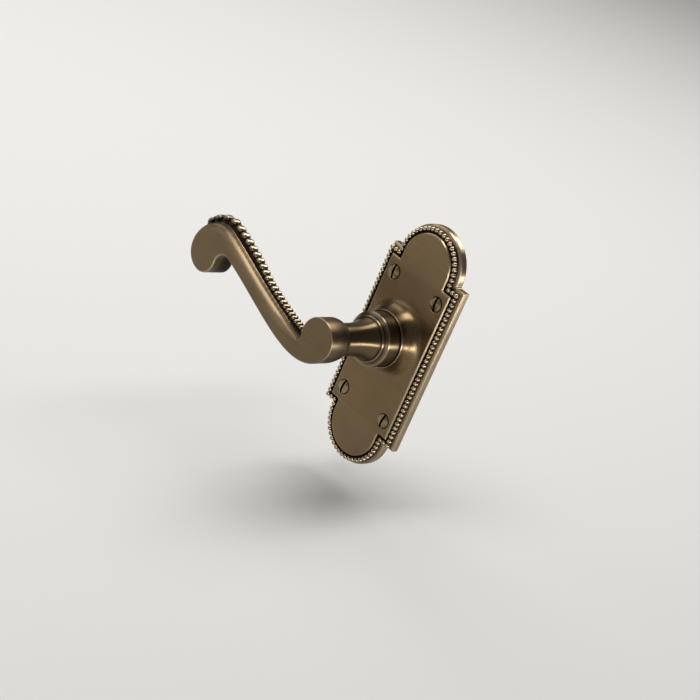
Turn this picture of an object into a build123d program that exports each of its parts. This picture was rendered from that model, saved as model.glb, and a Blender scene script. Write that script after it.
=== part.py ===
import math
import os

from build123d import *

# A sprung door lever on a beaded backplate. Sizes are in millimetres and degrees.
# Seen from the front, X runs to the right and Z up; the front faces -Y.
# The origin lies on the spindle axis in the plane of the door, and heights count from the door.

# Backplate, seen from the front
plate_width = 50.0
plate_length = 127.6
lobe_radius = 19.3
shoulder_length = 87.2
notch_radius = 0.8
spindle_rise = 4.6

# Backplate, in section
rim_height = 4.0
lip_width = 1.2
bed_height = 5.4
groove_width = 0.8
groove_depth = 0.5
field_inset = 4.1
field_height = 7.3
field_bevel = 0.7
side_wall = 2.6
pocket_depth = 2.8
skin = 2.2

# Pearl border
pearl_inset = 2.2
pearl_radius = 1.15
pearl_rise = 1.85
pearl_pitch = 2.51
pearl_sides = 8
pearl_root = 0.3

# Boss and its socket
boss_foot_radius = 20.0
boss_rim_radius = 13.9
boss_rim_height = 15.6
boss_band = 1.2
socket_floor = 11.4
web_thickness = 2.0
spring_room_radius = 14.6

# Lever collar, neck and journal
collar_radius = 13.15
collar_height = 23.4
collar_round = 0.4
ring_radius = 10.65
ring_height = 25.0
ring_thickness = 1.1
bell_radius = 10.1
neck_radius = 7.7
neck_start = 37.5
journal_radius = 9.0
journal_end = 0.3
flat_half_width = 7.0

# Lever head and scroll arm
face_height = 59.8
arm_depth = 12.5
edge_round = 1.2
head_radius = 10.2
head_shift_x = 1.4
head_shift_z = 1.2
head_end_angle = -38.5
dome_start = 51.5
dome_end = 44.0
dome_end_radius = 6.0
relief_radius = 11.7
relief_start = -72.0
relief_sweep = 288.0
crotch_angle = 222.0
crotch_round = 2.5
crook_reach = 68.9
crook_rise = 2.4
crook_heading = 165.3
crook_radius = 5.8
crook_sweep = 109.4
curl_radius = 8.5
curl_sweep = 92.0
eye_radius = 10.3
eye_sweep = 77.8
crown_radius = 15.0
crown_sweep = 114.9
crown_pull = 10.5
crotch_pull = 20.5
belly_pull = 24.9
crook_pull = 33.7

# Rim that stands out behind the face along the arm's top and crown, with its graduated bead row
rim_front = 4.0
rim_back = 8.2
rim_reach = 2.8
crown_plain_share = 0.39
bead_count = 28
bead_start = 2.3
bead_pitch = 1.97
bead_growth = 1.036
bead_fill = 0.47
bead_stand = 3.9
bead_lift = 0.15
bead_length = 3.4
bead_stretch = 0.04
bead_flat_share = 0.4
bead_end_share = 0.55
bead_sides = 8

# Spindle and its grub screw
spindle_side = 7.9
spindle_fit = 0.1
spindle_depth = 43.0
spindle_reach = 25.0
spindle_chamfer = 0.5
grub_radius = 2.45
grub_height = 39.0
grub_recess = 0.35
grub_key = 2.5
grub_key_depth = 1.8

# Bearing, drive plate, stops and clip
running_fit = 0.06
press_gap = 0.03
collar_gap = 0.35
bush_wall = 1.4
flange_thickness = 1.0
washer_thickness = 0.5
washer_play = 0.1
plate_thickness = 1.6
clip_thickness = 1.0
clip_play = 0.06
clip_lip = 0.3
groove_drop = 0.6
clip_width = 2.2
clip_gap_angle = 44.0
clip_lug_radius = 1.5
clip_lug_hole = 0.7
drive_radius = 13.8
ear_width = 7.0
ear_reach = 21.0
lever_travel = 45.0
stop_circle = 18.5
stop_radius = 1.5
stop_seat = 1.0
stop_play = 0.15

# Return spring
wire = 1.2
coil_radius = 12.6
coil_turns = 2.25
coil_clear = 0.4
leg_bend = 1.3
leg_fit = 0.15
leg_length = 0.9
leg_angle = 60.0

# Plate screws
screw_span_x = 30.2
screw_span_z = 64.6
screw_radius = 1.75
thread_radius = 1.6
screw_head_radius = 3.6
screw_dome = 0.75
screw_reach = 12.0
screw_point = 3.0
screw_slot = 0.9
screw_slot_depth = 1.1
screw_fit = 0.08
pillar_radius = 5.2

# Heights and radii that follow from the sizes above
pocket_ceiling = field_height - skin
spring_ceiling = socket_floor - web_thickness
bush_radius = journal_radius + running_fit + bush_wall
flange_top = socket_floor + flange_thickness
collar_base = flange_top + washer_thickness + washer_play
clip_base = journal_end + clip_lip + clip_play
drive_base = clip_base + clip_thickness + clip_play
drive_top = drive_base + plate_thickness
bush_base = drive_top + coil_clear
arm_back = face_height - arm_depth
socket_side = spindle_side + spindle_fit
leg_hole = wire / 2 + leg_fit
screw_spots = [
    (x * screw_span_x / 2, z * screw_span_z / 2 - spindle_rise) for x in (-1, 1) for z in (-1, 1)
]
stop_half_angle = math.degrees(math.asin((ear_width / 2 + stop_radius + stop_play) / stop_circle))
ear_angle = -90 - lever_travel / 2
stop_angles = [ear_angle - stop_half_angle, ear_angle + lever_travel + stop_half_angle]


def polar(radius, angle):
    return Vector(radius * math.cos(math.radians(angle)), radius * math.sin(math.radians(angle)))


def leg_spot(angle, way):
    # Where a leg of the spring stands: the bend takes it along the coil by its radius
    return polar(coil_radius, angle) + polar(way * leg_bend, angle + 90)


def section(radius, height):
    # A point of a turned section, drawn in the XY plane and revolved about Y
    return (radius, -height)


def plate_outline(inset, height=0.0):
    # The stepped outline with round ends, drawn inward by the inset on a plane at the height
    half_waist = lobe_radius - inset
    half_shoulder = shoulder_length / 2 - inset
    with BuildSketch(Plane.XZ.offset(height)) as outline:
        with Locations((0, -spindle_rise)):
            Rectangle(plate_width - 2 * inset, 2 * half_shoulder)
            SlotOverall(plate_length - 2 * inset, 2 * half_waist, rotation=90)
        notches = outline.vertices().filter_by(
            lambda v: math.isclose(abs(v.X), half_waist, abs_tol=0.01)
            and math.isclose(abs(v.Y + spindle_rise), half_shoulder, abs_tol=0.01)
        )
        fillet(notches, notch_radius)
    return outline.sketch


def faceted_bead(levels, sides):
    # A bead of few faces along Y, from (height, radius) levels
    with BuildPart() as bead:
        for height, radius in levels:
            with BuildSketch(Plane.XZ.offset(height)):
                RegularPolygon(radius, sides)
        loft(ruled=True)
    return bead.part


def pearl_spots():
    # Pearls stand at the four shoulder corners and evenly between them
    half_width = plate_width / 2 - pearl_inset
    half_shoulder = shoulder_length / 2 - pearl_inset
    half_waist = lobe_radius - pearl_inset
    lobe_centre = plate_length / 2 - lobe_radius
    with BuildLine(mode=Mode.PRIVATE) as side:
        Line((half_width, -half_shoulder), (half_width, half_shoulder))
    with BuildLine(mode=Mode.PRIVATE) as end:
        FilletPolyline(
            (half_width, half_shoulder),
            (half_waist, half_shoulder),
            (half_waist, lobe_centre),
            radius=notch_radius,
        )
        ThreePointArc((half_waist, lobe_centre), (0, lobe_centre + half_waist), (-half_waist, lobe_centre))
        FilletPolyline(
            (-half_waist, lobe_centre),
            (-half_waist, half_shoulder),
            (-half_width, half_shoulder),
            radius=notch_radius,
        )
    spots = []
    for run in (side.wire(), end.wire()):
        count = round(run.length / pearl_pitch)
        for index in range(count):
            spot = run.position_at(run.length * index / count, position_mode=PositionMode.LENGTH)
            spots.append((spot.X, spot.Y))
    # The other side and the other end are the same row turned by half a turn about the plate's centre
    return [(turn * x, turn * z - spindle_rise) for x, z in spots for turn in (1, -1)]


pearl_top = bed_height + pearl_rise
pearl = faceted_bead(
    [
        (bed_height - pearl_root, pearl_radius),
        (bed_height + pearl_rise * 0.45, pearl_radius),
        (bed_height + pearl_rise * 0.85, pearl_radius * 0.7),
        (pearl_top, pearl_radius * 0.3),
    ],
    pearl_sides,
)

# Backplate: stepped border, raised field, trumpet boss with the collar's socket, hollow back
with BuildPart() as backplate:
    extrude(plate_outline(0), amount=rim_height)
    extrude(plate_outline(lip_width, rim_height), amount=bed_height - rim_height)
    groove_floor = bed_height - groove_depth
    groove = plate_outline(field_inset - groove_width, groove_floor)
    extrude(groove, amount=groove_depth, mode=Mode.SUBTRACT)
    extrude(plate_outline(field_inset, groove_floor), amount=field_height - groove_floor)
    chamfer(backplate.faces().sort_by(Axis.Y)[0].outer_wire().edges(), field_bevel)
    extrude(plate_outline(side_wall), amount=pocket_depth, mode=Mode.SUBTRACT)
    recess = plate_outline(field_inset + skin, pocket_depth)
    extrude(recess, amount=pocket_ceiling - pocket_depth, mode=Mode.SUBTRACT)
    with BuildSketch(Plane.XY):
        with BuildLine():
            trumpet = TangentArc(
                section(boss_rim_radius, boss_rim_height - boss_band),
                section(boss_foot_radius, field_height),
                tangent=(0, 1),
            )
            Polyline(
                trumpet @ 1,
                section(boss_foot_radius, pocket_ceiling),
                section(0, pocket_ceiling),
                section(0, boss_rim_height),
                section(boss_rim_radius, boss_rim_height),
                trumpet @ 0,
            )
        make_face()
    revolve(axis=Axis.Y)
    with BuildSketch(Plane.XZ):
        with Locations(*screw_spots):
            Circle(pillar_radius)
    extrude(amount=pocket_ceiling)
    with BuildSketch(Plane.XY):
        with BuildLine():
            Polyline(
                section(0, 0),
                section(spring_room_radius, 0),
                section(spring_room_radius, spring_ceiling),
                section(bush_radius + press_gap, spring_ceiling),
                section(bush_radius + press_gap, socket_floor),
                section(collar_radius + collar_gap, socket_floor),
                section(collar_radius + collar_gap, boss_rim_height),
                section(0, boss_rim_height),
                close=True,
            )
        make_face()
    revolve(axis=Axis.Y, mode=Mode.SUBTRACT)
    with BuildSketch(Plane.XZ.offset(spring_ceiling)):
        with Locations(leg_spot(leg_angle + 360 * coil_turns, 1)):
            Circle(leg_hole)
    extrude(amount=web_thickness, mode=Mode.SUBTRACT)
    with BuildSketch(Plane.XZ.offset(pocket_ceiling)):
        with Locations(*[polar(stop_circle, angle) for angle in stop_angles]):
            Circle(stop_radius + press_gap)
    extrude(amount=stop_seat, mode=Mode.SUBTRACT)
    with Locations(*[Plane((x, -field_height, z), (1, 0, 0), (0, -1, 0)) for x, z in screw_spots]):
        CounterSinkHole(screw_radius + screw_fit, screw_head_radius + screw_fit, counter_sink_angle=90)
    with Locations(*[(x, 0, z) for x, z in pearl_spots()]):
        add(pearl)

# Scroll arm: one outline of arcs and two long curves, rounded at its edges
with BuildPart() as scroll:
    with BuildSketch(Plane.XZ.offset(arm_back)) as scroll_face:
        with BuildLine():
            head_centre = Vector(head_shift_x, head_shift_z)
            crook = JernArc(
                (-crook_reach, crook_rise), polar(1, crook_heading), crook_radius, crook_sweep
            )
            curl = JernArc(crook @ 1, crook % 1, curl_radius, -curl_sweep)
            eye = JernArc(curl @ 1, curl % 1, eye_radius, -eye_sweep)
            crown = JernArc(eye @ 1, eye % 1, crown_radius, -crown_sweep)
            crotch = head_centre + polar(head_radius, crotch_angle)
            top_edge = Bezier(
                crown @ 1,
                (crown @ 1) + (crown % 1) * crown_pull,
                crotch - Vector(crotch_pull, 0),
                crotch,
            )
            head = CenterArc(head_centre, head_radius, crotch_angle, head_end_angle - crotch_angle)
            Bezier(
                head @ 1,
                (head @ 1) + (head % 1) * belly_pull,
                (crook @ 0) - (crook % 0) * crook_pull,
                crook @ 0,
            )
        make_face()
        fillet(scroll_face.vertices().sort_by_distance(crotch)[0], crotch_round)
    extrude(amount=arm_depth)
    fillet(scroll.faces().sort_by(Axis.Y)[0].edges(), edge_round)
    with BuildSketch(Plane.XZ.offset(arm_back)):
        with BuildLine():
            relief = CenterArc(head_centre, relief_radius, relief_start, relief_sweep)
            Line(relief @ 1, relief @ 0)
        make_face()
    extrude(amount=dome_start - arm_back, mode=Mode.SUBTRACT)
    with BuildSketch(Plane.XZ.offset(face_height - rim_back)):
        rim_line = crown.trim(crown_plain_share, 1)
        trace([top_edge, rim_line], line_width=2 * rim_reach)
        with Locations(rim_line @ 0):
            Circle(rim_reach)
    extrude(amount=rim_back - rim_front)


def top_spot(distance):
    # A point on the arm's top edge, counted from the crotch, and the way out of the metal there
    if distance < top_edge.length:
        edge, along = top_edge, top_edge.length - distance
    else:
        edge, along = crown, crown.length + top_edge.length - distance
    spot = edge.position_at(along, position_mode=PositionMode.LENGTH)
    way = edge.tangent_at(along, position_mode=PositionMode.LENGTH)
    return spot, Vector(-way.Y, way.X)


def arm_beads():
    # Beads grow from the crotch to the crown, each sunk in the rim so that it stands a set height proud
    beads = []
    distance = bead_start
    pitch = bead_pitch
    rim_middle = face_height - (rim_front + rim_back) / 2
    for index in range(bead_count):
        radius = bead_fill * pitch
        stand = bead_stand + (pitch - bead_pitch) * bead_lift
        length = bead_length + bead_stretch * index
        spot, way = top_spot(distance)
        centre = spot + way * (stand - radius)
        levels = [
            (rim_middle - length / 2, radius * bead_end_share),
            (rim_middle - length * bead_flat_share / 2, radius),
            (rim_middle + length * bead_flat_share / 2, radius),
            (rim_middle + length / 2, radius * bead_end_share),
        ]
        beads.append(Pos(centre.X, 0, centre.Y) * faceted_bead(levels, bead_sides))
        distance += pitch
        pitch *= bead_growth
    return beads


# Lever: journal, collar, bell and neck turned on the spindle axis, then head and scroll arm
with BuildPart() as lever:
    with BuildSketch(Plane.XY):
        with BuildLine():
            Polyline(
                section(0, journal_end),
                section(journal_radius, journal_end),
                section(journal_radius, collar_base),
                section(collar_radius, collar_base),
                section(collar_radius, collar_height - collar_round),
                section(collar_radius - collar_round, collar_height),
                section(ring_radius, ring_height - ring_thickness / 2),
            )
            ring = ThreePointArc(
                section(ring_radius, ring_height - ring_thickness / 2),
                section(ring_radius + ring_thickness / 2, ring_height),
                section(ring_radius, ring_height + ring_thickness / 2),
            )
            Line(ring @ 1, section(bell_radius, ring_height + ring_thickness / 2))
            bell = TangentArc(
                section(neck_radius, neck_start),
                section(bell_radius, ring_height + ring_thickness / 2),
                tangent=(0, 1),
            )
            Polyline(
                bell @ 0,
                section(neck_radius, dome_start),
                section(0, dome_start),
                section(0, journal_end),
            )
        make_face()
    revolve(axis=Axis.Y)
    with BuildSketch(Plane.XY.offset(head_shift_z)):
        with BuildLine():
            shoulder = TangentArc(
                (head_shift_x + head_radius, -dome_start),
                (head_shift_x + dome_end_radius, -dome_end),
                tangent=(0, 1),
            )
            Polyline(
                shoulder @ 1,
                (head_shift_x, -dome_end),
                (head_shift_x, -dome_start - edge_round),
                (head_shift_x + head_radius, -dome_start - edge_round),
                shoulder @ 0,
            )
        make_face()
    revolve(axis=Axis((head_shift_x, 0, head_shift_z), (0, 1, 0)))
    add(scroll.part)
    add(arm_beads())
    with BuildSketch(Plane.XZ.offset(journal_end)):
        Rectangle(socket_side, socket_side)
    extrude(amount=spindle_depth + spindle_fit - journal_end, mode=Mode.SUBTRACT)
    with BuildSketch(Plane.XZ.offset(journal_end)):
        Circle(journal_radius)
        Rectangle(2 * journal_radius, 2 * flat_half_width, mode=Mode.SUBTRACT)
    extrude(amount=drive_top - journal_end, mode=Mode.SUBTRACT)
    with BuildSketch(Plane.XZ.offset(clip_base - clip_play)):
        Circle(journal_radius)
        Circle(journal_radius - groove_drop, mode=Mode.SUBTRACT)
    extrude(amount=clip_thickness + 2 * clip_play, mode=Mode.SUBTRACT)
    with BuildSketch(Plane.XY):
        with Locations((0, -grub_height)):
            Circle(grub_radius + press_gap)
    extrude(amount=-neck_radius - edge_round, mode=Mode.SUBTRACT)

# Spindle: square bar seated in the lever, its free end stands out behind the plate
with BuildPart() as spindle:
    with BuildSketch(Plane.XZ.offset(-spindle_reach)):
        Rectangle(spindle_side, spindle_side)
    extrude(amount=spindle_reach + spindle_depth)
    chamfer(spindle.faces().sort_by(Axis.Y)[-1].edges(), spindle_chamfer)
    chamfer(spindle.faces().sort_by(Axis.Y)[0].edges(), spindle_chamfer)

# Grub screw: cup under the neck with a hexagon key socket
with BuildPart() as grub_screw:
    with BuildSketch(Plane.XY.offset(-neck_radius + grub_recess)):
        with Locations((0, -grub_height)):
            Circle(grub_radius)
    extrude(amount=neck_radius - grub_recess - spindle_side / 2 - press_gap)
    with BuildSketch(Plane.XY.offset(-neck_radius + grub_recess)):
        with Locations((0, -grub_height)):
            RegularPolygon(grub_key / 2, 6, major_radius=False)
    extrude(amount=grub_key_depth, mode=Mode.SUBTRACT)

# Bearing bush: flange in the socket, tube through the web as the spring's guide
with BuildPart() as bearing_bush:
    with BuildSketch(Plane.XY):
        with BuildLine():
            Polyline(
                section(journal_radius + running_fit, bush_base),
                section(bush_radius, bush_base),
                section(bush_radius, socket_floor),
                section(collar_radius, socket_floor),
                section(collar_radius, flange_top),
                section(journal_radius + running_fit, flange_top),
                close=True,
            )
        make_face()
    revolve(axis=Axis.Y)

# Thrust washer between the bush's flange and the collar
with BuildPart() as thrust_washer:
    with BuildSketch(Plane.XZ.offset(flange_top)):
        Circle(collar_radius)
        Circle(journal_radius + leg_fit, mode=Mode.SUBTRACT)
    extrude(amount=washer_thickness)

# Drive plate: keyed on the journal's flats, with the stop ear and the hole for the spring's leg
with BuildPart() as drive_plate:
    with BuildSketch(Plane.XZ.offset(drive_base)) as drive_face:
        Circle(drive_radius)
        with Locations(Location((0, 0, 0), (0, 0, ear_angle))):
            Rectangle(ear_reach, ear_width, align=(Align.MIN, Align.CENTER))
        with BuildSketch(mode=Mode.SUBTRACT):
            Circle(journal_radius + running_fit)
            Rectangle(
                2 * journal_radius + 1, 2 * (flat_half_width + running_fit), mode=Mode.INTERSECT
            )
        with Locations(leg_spot(leg_angle, -1)):
            Circle(leg_hole, mode=Mode.SUBTRACT)
    extrude(amount=plate_thickness)
    ear_corners = drive_plate.edges().filter_by(Axis.Y).group_by(lambda e: e.center().length)[-1]
    fillet(ear_corners, ear_width / 5)

# Stop pins in blind seats beside the boss
with BuildPart() as stop_pins:
    with BuildSketch(Plane.XZ.offset(drive_base)):
        with Locations(*[polar(stop_circle, angle) for angle in stop_angles]):
            Circle(stop_radius)
    extrude(amount=pocket_ceiling + stop_seat - press_gap - drive_base)

# Retaining clip: open ring in the journal's groove with two plier lugs
clip_inner = journal_radius - groove_drop + press_gap
clip_outer = clip_inner + clip_width
with BuildPart() as retaining_clip:
    with BuildSketch(Plane.XZ.offset(clip_base)):
        Circle(clip_outer)
        Circle(clip_inner, mode=Mode.SUBTRACT)
        with BuildLine():
            Polyline(
                (0, 0),
                polar(2 * clip_outer, 90 - clip_gap_angle / 2),
                polar(2 * clip_outer, 90 + clip_gap_angle / 2),
                close=True,
            )
        make_face(mode=Mode.SUBTRACT)
        lug_circle = clip_inner + clip_lug_radius
        lugs = [polar(lug_circle, 90 + side * clip_gap_angle / 2) for side in (-1, 1)]
        with Locations(*lugs):
            Circle(clip_lug_radius)
            Circle(clip_lug_hole, mode=Mode.SUBTRACT)
    extrude(amount=clip_thickness)

# Return spring: a coil of quarter-turn biarcs with a leg bent into the drive plate and one into the web
coil_base = drive_top + coil_clear + wire / 2
coil_climb = spring_ceiling - coil_clear - wire / 2 - coil_base


def coil_spot(turn):
    spot = polar(coil_radius, leg_angle + 360 * turn)
    return Vector(spot.X, -coil_base - coil_climb * turn / coil_turns, spot.Y)


def coil_way(turn):
    way = polar(2 * math.pi * coil_radius, leg_angle + 360 * turn + 90)
    return Vector(way.X, -coil_climb / coil_turns, way.Y).normalized()


def biarc(start, start_way, end, end_way):
    # Two arcs that meet both points and both directions
    span = end - start
    ways = start_way + end_way
    spread = 2 * (1 - start_way.dot(end_way))
    reach = (-span.dot(ways) + math.sqrt(span.dot(ways) ** 2 + spread * span.dot(span))) / spread
    middle = (start + end + (start_way - end_way) * reach) * 0.5
    first = TangentArc(start, middle, tangent=start_way)
    TangentArc(middle, end, tangent=first % 1)


with BuildPart() as return_spring:
    quarters = round(4 * coil_turns)
    down = Vector(0, 1, 0)
    with BuildLine() as coil_line:
        low = coil_spot(0)
        low_turn = low - coil_way(0) * leg_bend + down * leg_bend
        low_bend = TangentArc(low, low_turn, tangent=coil_way(0) * -1)
        Line(low_turn, low_turn + (low_bend % 1) * leg_length)
        for quarter in range(quarters):
            turns = (coil_turns * quarter / quarters, coil_turns * (quarter + 1) / quarters)
            biarc(coil_spot(turns[0]), coil_way(turns[0]), coil_spot(turns[1]), coil_way(turns[1]))
        high = coil_spot(coil_turns)
        high_turn = high + (coil_way(coil_turns) - down) * leg_bend
        high_bend = TangentArc(high, high_turn, tangent=coil_way(coil_turns))
        Line(high_turn, high_turn + (high_bend % 1) * leg_length)
    path = coil_line.wire()
    with BuildSketch(Plane(path @ 0, z_dir=path % 0)):
        Circle(wire / 2)
    sweep(path=path)

# Plate screws: slotted, raised countersunk wood screws
with BuildPart() as screw:
    with BuildSketch(Plane.XY):
        with BuildLine():
            cone_depth = screw_head_radius - screw_radius
            dome = ThreePointArc(
                section(-screw_head_radius, field_height),
                section(0, field_height + screw_dome),
                section(screw_head_radius, field_height),
            )
            Polyline(
                dome @ 1,
                section(screw_radius, field_height - cone_depth),
                section(screw_radius, 0),
                section(thread_radius, 0),
                section(thread_radius, -screw_reach + screw_point),
                section(0, -screw_reach),
                section(-screw_head_radius, -screw_reach),
                dome @ 0,
            )
        make_face()
        with Locations((screw_head_radius, 0)):
            Rectangle(
                2 * screw_head_radius, 4 * (field_height + screw_reach), mode=Mode.INTERSECT
            )
    revolve(axis=Axis.Y)
    with BuildSketch(Plane.XZ.offset(field_height + screw_dome - screw_slot_depth)):
        Rectangle(screw_slot, 2 * screw_head_radius)
    extrude(amount=screw_slot_depth, mode=Mode.SUBTRACT)

with BuildPart() as plate_screws:
    with Locations(*[(x, 0, z) for x, z in screw_spots]):
        add(screw.part)

pieces = {
    "backplate": backplate,
    "lever": lever,
    "spindle": spindle,
    "grub_screw": grub_screw,
    "bearing_bush": bearing_bush,
    "thrust_washer": thrust_washer,
    "drive_plate": drive_plate,
    "stop_pins": stop_pins,
    "retaining_clip": retaining_clip,
    "return_spring": return_spring,
    "plate_screws": plate_screws,
}
os.makedirs("parts", exist_ok=True)
for name, piece in pieces.items():
    piece.part.label = name
    export_step(piece.part, f"parts/{name}.step")

# The least gap between neighbouring turns of the spring, measured on points along its line
samples = [path.position_at(index / 400) for index in range(401)]
stride = path.length / 400
gap = min(
    (a - b).length
    for i, a in enumerate(samples)
    for j, b in enumerate(samples)
    if (j - i) * stride > 4 * wire
)
print(f"return_spring: length {path.length:.1f} mm, least gap to itself {gap - wire:.2f} mm")
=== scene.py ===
import math
import bmesh
import bpy
import numpy as np
from mathutils import Matrix, Vector
from mathutils.geometry import tessellate_polygon


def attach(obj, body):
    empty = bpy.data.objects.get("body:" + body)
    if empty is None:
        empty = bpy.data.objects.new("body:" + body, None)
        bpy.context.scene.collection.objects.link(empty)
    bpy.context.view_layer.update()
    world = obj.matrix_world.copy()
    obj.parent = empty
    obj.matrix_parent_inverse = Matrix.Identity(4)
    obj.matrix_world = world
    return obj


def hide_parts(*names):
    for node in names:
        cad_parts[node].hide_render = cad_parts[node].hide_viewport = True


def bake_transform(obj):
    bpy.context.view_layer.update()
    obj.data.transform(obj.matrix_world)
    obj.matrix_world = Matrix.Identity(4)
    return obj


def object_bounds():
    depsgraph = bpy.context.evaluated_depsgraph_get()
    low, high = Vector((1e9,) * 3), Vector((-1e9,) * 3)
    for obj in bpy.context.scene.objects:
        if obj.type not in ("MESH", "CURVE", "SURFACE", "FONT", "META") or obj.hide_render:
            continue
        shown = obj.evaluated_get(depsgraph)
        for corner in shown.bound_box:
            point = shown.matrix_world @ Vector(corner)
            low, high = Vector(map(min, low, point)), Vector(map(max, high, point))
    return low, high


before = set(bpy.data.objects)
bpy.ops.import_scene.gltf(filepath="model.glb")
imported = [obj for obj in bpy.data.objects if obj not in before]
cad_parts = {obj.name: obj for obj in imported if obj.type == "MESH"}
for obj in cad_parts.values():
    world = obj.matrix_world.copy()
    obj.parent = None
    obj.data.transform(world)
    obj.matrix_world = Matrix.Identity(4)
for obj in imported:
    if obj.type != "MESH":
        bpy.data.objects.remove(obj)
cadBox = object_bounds()
mm = 0.001
fixedBody, leverBody = "plate_body", "lever_body"


def polar(radius, angle):
    return np.array([radius * math.cos(math.radians(angle)), radius * math.sin(math.radians(angle))])


def bearing(way):
    return math.degrees(math.atan2(way[1], way[0])) % 360


def smooth(value, low, high):
    share = np.clip((np.asarray(value, float) - low) / (high - low), 0, 1)
    return share * share * (3 - 2 * share)


def distances(path):
    # the way travelled along a path at each of its points
    return np.r_[0, np.cumsum(np.linalg.norm(np.diff(path, axis=0), axis=1))]


class Shell:
    # points in millimetres with two painted values: patina in recesses together with painted shade, wear on
    # edges together with painted highlights
    def __init__(self):
        self.points, self.faces, self.patina, self.wearAndHighlight = [], [], [], []

    def ring(self, points, patina=0.0, wearAndHighlight=0.0):
        start = len(self.points)
        self.points += [tuple(point) for point in points]
        self.patina += list(np.broadcast_to(patina, len(points)))
        self.wearAndHighlight += list(np.broadcast_to(wearAndHighlight, len(points)))
        return list(range(start, len(self.points)))

    def bridge(self, a, b):
        count = len(a)
        self.faces += [(a[i], a[(i + 1) % count], b[(i + 1) % count], b[i]) for i in range(count)]

    def stack(self, rings):
        for a, b in zip(rings, rings[1:]):
            self.bridge(a, b)
        return rings

    def fill(self, *loops):
        flat = [i for loop in loops for i in loop]
        flatPoints = [[Vector((self.points[i][0], self.points[i][2], 0)) for i in loop] for loop in loops]
        self.faces += [tuple(flat[i] for i in corner) for corner in tessellate_polygon(flatPoints)]

    def mesh(self, name, crease=32):
        mesh = bpy.data.meshes.new(name)
        mesh.from_pydata([[c * mm for c in point] for point in self.points], [], self.faces)
        for label, values in (("patina", self.patina), ("wearAndHighlight", self.wearAndHighlight)):
            layer = mesh.attributes.new(label, "FLOAT", "POINT")
            layer.data.foreach_set("value", np.array(values, np.float32))
        bm = bmesh.new()
        bm.from_mesh(mesh)
        bmesh.ops.recalc_face_normals(bm, faces=bm.faces)
        bm.to_mesh(mesh)
        bm.free()
        mesh.shade_smooth()
        mesh.set_sharp_from_angle(angle=math.radians(crease))
        return mesh


def lathe(shell, profile, steps=128, centre=(0.0, 0.0), halfFlat=None):
    # profile rows: radius, height above the door, patina and painted shade, wear and painted highlight
    rings = []
    turn = np.linspace(0, 2 * math.pi, steps, endpoint=False)
    for radius, height, patina, wearAndHighlight in profile:
        x, z = radius * np.cos(turn), radius * np.sin(turn)
        if halfFlat and height < halfFlat[1]:
            z = np.clip(z, -halfFlat[0], halfFlat[0])
        points = np.stack([x + centre[0], np.full(steps, -height), z + centre[1]], 1)
        rings.append(shell.ring(points, patina, wearAndHighlight))
    return shell.stack(rings)


def arcRows(centre, radius, start, end, steps, patina=0.0, wearAndHighlight=0.0):
    # a run of profile rows on an arc in the radius-height plane
    spots = [np.array(centre) + polar(radius, angle) for angle in np.linspace(start, end, steps + 1)]
    return [(spot[0], spot[1], patina, wearAndHighlight) for spot in spots]


def newObject(name, data):
    obj = bpy.data.objects.new(name, data)
    bpy.context.scene.collection.objects.link(obj)
    return obj


def addObject(name, mesh, body, materials, replaces):
    obj = newObject(name, mesh)
    for material in materials:
        obj.data.materials.append(material)
    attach(obj, body)
    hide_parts(*replaces)


def addCut(obj, cutter):
    cut = obj.modifiers.new("cut", "BOOLEAN")
    cut.object = cutter
    cut.operation = "DIFFERENCE"
    cut.solver = "EXACT"


def bakedMesh(obj, *spent):
    # the mesh with its modifiers applied; objects that are spent are removed
    bpy.context.view_layer.update()
    mesh = bpy.data.meshes.new_from_object(obj.evaluated_get(bpy.context.evaluated_depsgraph_get()))
    for each in spent:
        bpy.data.objects.remove(each)
    return mesh


# Materials
class Nodes:
    def __init__(self, name):
        self.material = bpy.data.materials.new(name)
        self.material.use_nodes = True
        self.tree = self.material.node_tree
        self.tree.nodes.clear()
        self.out = self.add("ShaderNodeOutputMaterial")
        self.shader = self.add("ShaderNodeBsdfPrincipled")
        self.link(self.shader, "BSDF", self.out, "Surface")

    def add(self, kind, values=None, **props):
        node = self.tree.nodes.new(kind)
        for key, value in props.items():
            setattr(node, key, value)
        for key, value in (values or {}).items():
            node.inputs[key].default_value = value
        return node

    def link(self, source, output, target, socket):
        self.tree.links.new(source.outputs[output], target.inputs[socket])
        return target

    def math(self, operation, a, b):
        node = self.add("ShaderNodeMath", operation=operation)
        for index, value in enumerate((a, b)):
            if isinstance(value, tuple):
                self.link(*value, node, index)
            else:
                node.inputs[index].default_value = value
        return (node, 0)

    def mix(self, factor, a, b):
        node = self.add("ShaderNodeMix", data_type="RGBA")
        self.link(*factor, node, 0)
        for index, value in ((6, a), (7, b)):
            if isinstance(value[0], float):
                node.inputs[index].default_value = (*value, 1)
            else:
                self.link(*value, node, index)
        return (node, 2)

    def noise(self, vector, scale, detail=3.0, rough=0.5):
        node = self.add("ShaderNodeTexNoise", {"Scale": scale, "Detail": detail, "Roughness": rough})
        self.link(*vector, node, "Vector")
        return (node, "Fac")

    def attribute(self, name):
        return (self.add("ShaderNodeAttribute", attribute_name=name), "Fac")

    def remap(self, value, low, high, toLow, toHigh):
        node = self.add("ShaderNodeMapRange", {1: low, 2: high, 3: toLow, 4: toHigh})
        self.link(*value, node, 0)
        return (node, 0)

    def bump(self, height, strength, distance):
        node = self.add("ShaderNodeBump", {"Strength": strength, "Distance": distance})
        self.link(*height, node, "Height")
        self.link(node, 0, self.shader, "Normal")


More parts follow.
